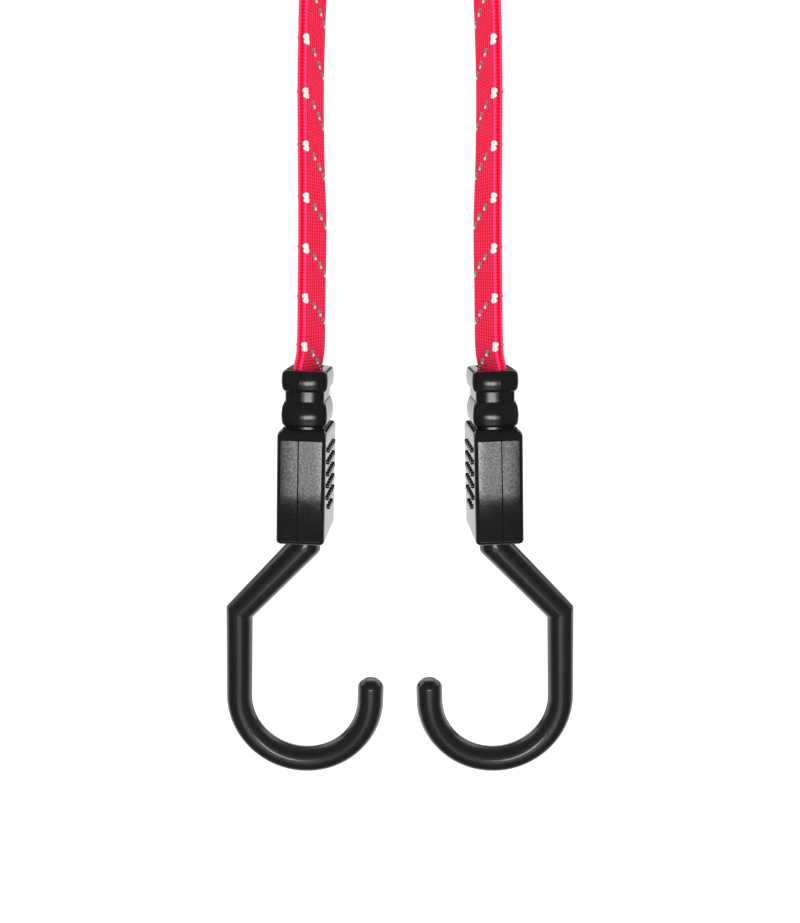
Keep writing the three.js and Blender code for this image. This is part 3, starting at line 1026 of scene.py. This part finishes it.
def loft(name, section, stations):
    """A closed skin through the stations, with a section of points at each."""
    count = len(section)
    vertices = []
    for middle, across, up in stations:
        vertices.extend(middle + across * point[0] + up * point[1] for point in section)
    faces = []
    for station in range(len(stations) - 1):
        for k in range(count):
            here = station * count + k
            beside = station * count + (k + 1) % count
            faces.append((here, beside, beside + count, here + count))
    faces.append(tuple(reversed(range(count))))
    faces.append(tuple(range((len(stations) - 1) * count, len(stations) * count)))
    piece = mesh_piece(name, vertices, faces)
    edit(piece, face_outwards)
    return piece


def strap_half(side, stations):
    """One half of the ribbed sleeve, with the distances round and along it as its weave map."""
    section, perimeter, _ = strap_section()
    count = len(section)
    piece = loft(f"{side}_strap", section, stations)
    mesh = piece.data
    # The crest goes on as an attribute that sets where the finish paints its sheen and its shade.
    crest = mesh.attributes.new("crest", "FLOAT", "POINT")
    crest.data.foreach_set("value", [point[3] for _ in stations for point in section])
    weave = mesh.uv_layers.new(name="weave")
    for face in mesh.polygons:
        columns = [mesh.loops[k].vertex_index % count for k in face.loop_indices]
        wraps = max(columns) - min(columns) > 1
        for k, column in zip(face.loop_indices, columns):
            row = mesh.loops[k].vertex_index // count
            around = perimeter if wraps and column == 0 else section[column][2]
            weave.data[k].uv = (around, row * STATION_PITCH / MM)
    only(piece)
    bpy.ops.object.shade_smooth_by_angle(angle=math.radians(STRAP_SHARP))
    return piece


def on_strap(stations, section, perimeter, around, along):
    """The point and outward direction at a distance round and a distance along, in millimetres."""
    around %= perimeter
    along = min(max(along * MM / STATION_PITCH, 0), len(stations) - 1)
    row = min(int(along), len(stations) - 2)
    column = max(k for k, point in enumerate(section) if point[2] <= around)
    here = section[column]
    after = section[(column + 1) % len(section)]
    length = (after[2] if after[2] > here[2] else perimeter) - here[2]
    part = (around - here[2]) / length
    across = here[0] + (after[0] - here[0]) * part
    height = here[1] + (after[1] - here[1]) * part
    run = Vector((after[0] - here[0], after[1] - here[1])).normalized()
    middle, side_way, up = (a.lerp(b, along - row) for a, b in zip(stations[row], stations[row + 1]))
    return middle + side_way * across + up * height, side_way * -run.y + up * run.x


def yarn_lobe(points, faces, painted_glints, place_of, lobe):
    """One low pad of the yarn, its rim sunk in the braid."""
    around, along, half_width, half_height, painted_glint_peak = lobe
    start = len(points)
    for spread, rise, core in LOBE_SHARES:
        for step in range(LOBE_SIDES):
            angle = 2 * math.pi * step / LOBE_SIDES
            wide = half_width * spread * math.cos(angle)
            high = half_height * spread * math.sin(angle)
            point, out = place_of(around + wide, along + high)
            points.append(point + out * rise * LOBE_RISE * MM)
            # Each ring of the pad takes its share of the painted glint: full in the middle, none at the rim.
            painted_glints.append(core * painted_glint_peak)
    point, out = place_of(around, along)
    points += [point + out * LOBE_RISE * MM, point - out * LOBE_RISE * MM]
    painted_glints += [painted_glint_peak, 0.0]
    top = start + len(LOBE_SHARES) * LOBE_SIDES
    inner = top - LOBE_SIDES
    for step in range(LOBE_SIDES):
        after = (step + 1) % LOBE_SIDES
        for low in range(start, inner, LOBE_SIDES):
            faces.append((low + step, low + after, low + LOBE_SIDES + after, low + LOBE_SIDES + step))
        faces.append((inner + step, inner + after, top))
        faces.append((start + after, start + step, top + 1))


def tracer_lobes(length, corner):
    """The lobes of all stitches down one half of the strap."""
    turn = TRACER_START - TRACER_PITCH
    while turn < length:
        stitches = [(corner + CORNER_PLACE, turn, CORNER_LOBES)]
        stitches += [(corner - back, turn + down, STITCH_LOBES) for back, down in TRACER_STEPS]
        for around, along, lobes in stitches:
            if TRACER_MARGIN < along < length - TRACER_MARGIN:
                for aside, down, wide, high, painted_glint_peak in lobes:
                    yield around + aside, along + down, wide, high, painted_glint_peak
        turn += TRACER_PITCH


def tracer_yarn(side, stations):
    """The reflective yarn, which winds round the strap and shows as stitches of two lobes."""
    section, perimeter, corner = strap_section()
    points, faces, painted_glints = [], [], []

    def place_of(around, along):
        return on_strap(stations, section, perimeter, around, along)

    for lobe in tracer_lobes((len(stations) - 1) * STATION_PITCH / MM, corner):
        yarn_lobe(points, faces, painted_glints, place_of, lobe)
    piece = mesh_piece(f"{side}_tracer_yarn", points, faces)
    core = piece.data.attributes.new("core", "FLOAT", "POINT")
    core.data.foreach_set("value", painted_glints)
    edit(piece, face_outwards)
    bpy.ops.object.shade_smooth()
    return piece


def rubber_strands(side, stations):
    """Eight square strands side by side inside the sleeve."""
    bore = STRAP_WIDTH - 2 * SLEEVE_WALL
    pitch = (bore - STRAND_GAP) / RIB_COUNT
    high = STRAP_THICKNESS / 2 - SLEEVE_WALL - STRAND_CLEARANCE
    wide = (pitch - STRAND_GAP) / 2
    strands = []
    for number in range(RIB_COUNT):
        middle = (number - (RIB_COUNT - 1) / 2) * pitch
        section = [(middle + a * wide, b * high) for a, b in ((1, 1), (-1, 1), (-1, -1), (1, -1))]
        strands.append(loft(f"{side}_strand_{number}", section, stations[::STRAND_STEP]))
    select_together(strands)
    bpy.ops.object.join()
    piece = bpy.context.object
    piece.name = f"{side}_rubber_strands"
    return piece


# The dressed part

def paint(piece, finish, slot):
    piece.data.materials.clear()
    piece.data.materials.append(finish)


def dress_strap(side, finishes):
    """The strap's half, its tracer yarn and its strands."""
    stations = strap_line(side)
    strap = strap_half(side, stations)
    tracer = tracer_yarn(side, stations)
    strands = rubber_strands(side, stations)
    route = [station[0] for station in stations]
    top = Vector((inward(side) * ROUTE[LEG_TOP][0], 0, ROUTE[LEG_TOP][1]))
    mouth = end_place(side).translation
    throat = end_place(side) @ Vector((0, 0, -FUNNEL_DEPTH))
    for piece, finish, slot in (
        (strap, "strap", "webbing"), (tracer, "tracer", "webbing"), (strands, "rubber", "rubber"),
    ):
        paint(piece, finishes[finish], slot)
        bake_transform(piece)
    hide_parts("strap_sleeve")
    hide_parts(*[f"rubber_strand_{k + 1}" for k in range(RIB_COUNT)])
    length = sum((b - a).length for a, b in zip(route, route[1:]))


def dress_end(side, finishes):
    """The housing's two halves, the hook, and the steel parts inside them."""
    for name, node, way in (("outer_half", "outer_shell", -1), ("inner_half", "inner_shell", 1)):
        half = housing_half(side, name, way)
        paint(half, finishes["housing"], "housing")
        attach(half, f"{side}_end")
        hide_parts(f"{side}_{node}")
    hook = hook_cover(side)
    paint(hook, finishes["hook"], "hook")
    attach(hook, f"{side}_hook")
    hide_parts(f"{side}_hook_cover")
    for node in ("strap_clip", "hook_wire"):
        paint(frame["nodes"][f"{side}_{node}"], finishes["steel"], "steel")


def main():
    bpy.context.scene.view_settings.view_transform = "Standard"
    make_camera()
    make_world()
    make_floor()
    strip_light("strip", STRIP_TOP, STRIP_BOTTOM, STRIP_PARTS)
    strip_light("low_strip", LOW_STRIP_TOP, LOW_STRIP_BOTTOM, LOW_STRIP_PARTS)
    finishes = {
        "strap": strap_finish(),
        "tracer": tracer_finish(),
        "rubber": rubber_finish(),
        "housing": housing_finish(),
        "hook": hook_finish(),
        "steel": steel_finish(),
    }
    for side in SIDES:
        dress_strap(side, finishes)
        dress_end(side, finishes)


main()
